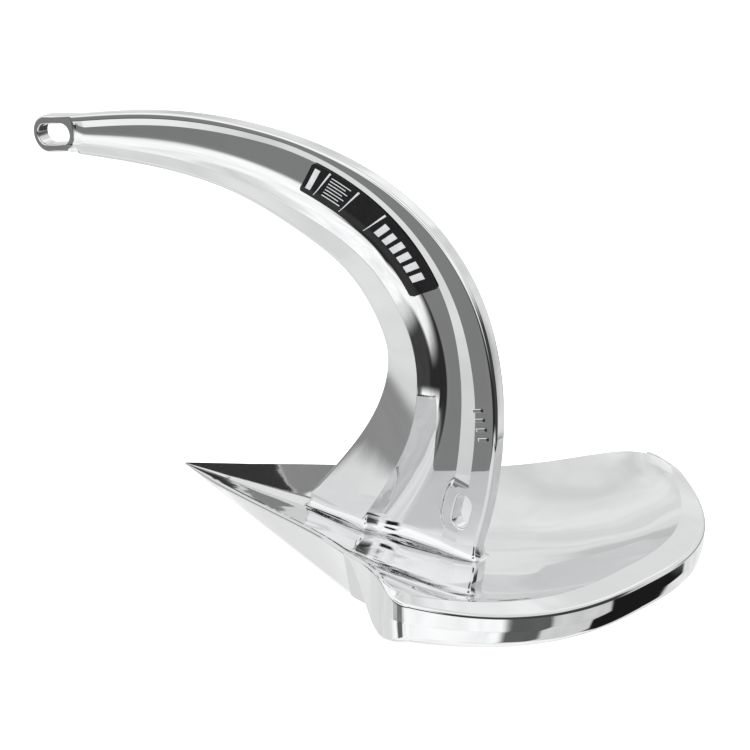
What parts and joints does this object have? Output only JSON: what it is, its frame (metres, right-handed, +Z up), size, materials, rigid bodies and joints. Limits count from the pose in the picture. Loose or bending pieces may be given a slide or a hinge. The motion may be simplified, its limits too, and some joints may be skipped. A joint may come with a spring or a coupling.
{
  "type": "boat anchor",
  "caption": "Scoop-fluke boat anchor in mirror-polished steel: swept V-section shank with an eye slot, welded on a broad concave fluke with a pointed tip and a V bulb.",
  "frame": {"origin": "under the middle of the anchor's bounding box, at the level of its lowest point, with the fluke level", "axes": "+X from the fluke's tip to its rear, +Y to the side facing away from the label, +Z up; Y = 0 is the plane of symmetry"},
  "size_m": [0.6975, 0.387, 0.4178],
  "materials": {
    "polished_steel": "mirror polished stainless steel",
    "ballast_lead": "cast, hidden inside the bulb",
    "black_vinyl": "glossy printed vinyl"
  },
  "bodies": {
    "root": {"shank_eye": "polished_steel", "shank_rim": "polished_steel", "shank_web": "polished_steel", "shank_vee_flange": "polished_steel", "foot_pad": "polished_steel", "foot_port_weld": "polished_steel", "foot_starboard_weld": "polished_steel", "fluke_blade": "polished_steel", "tip_point": "polished_steel", "bulb_port_plate": "polished_steel", "bulb_starboard_plate": "polished_steel", "bulb_rear_plate": "polished_steel", "palm_port_skirt": "polished_steel", "palm_starboard_skirt": "polished_steel", "palm_rear_lip": "polished_steel", "underside_rib": "polished_steel", "tip_ballast": "ballast_lead", "label": "black_vinyl", "size_mark_1": "polished_steel", "size_mark_2": "polished_steel", "size_mark_3": "polished_steel", "size_mark_4": "polished_steel"}
  },
  "joints": []
}
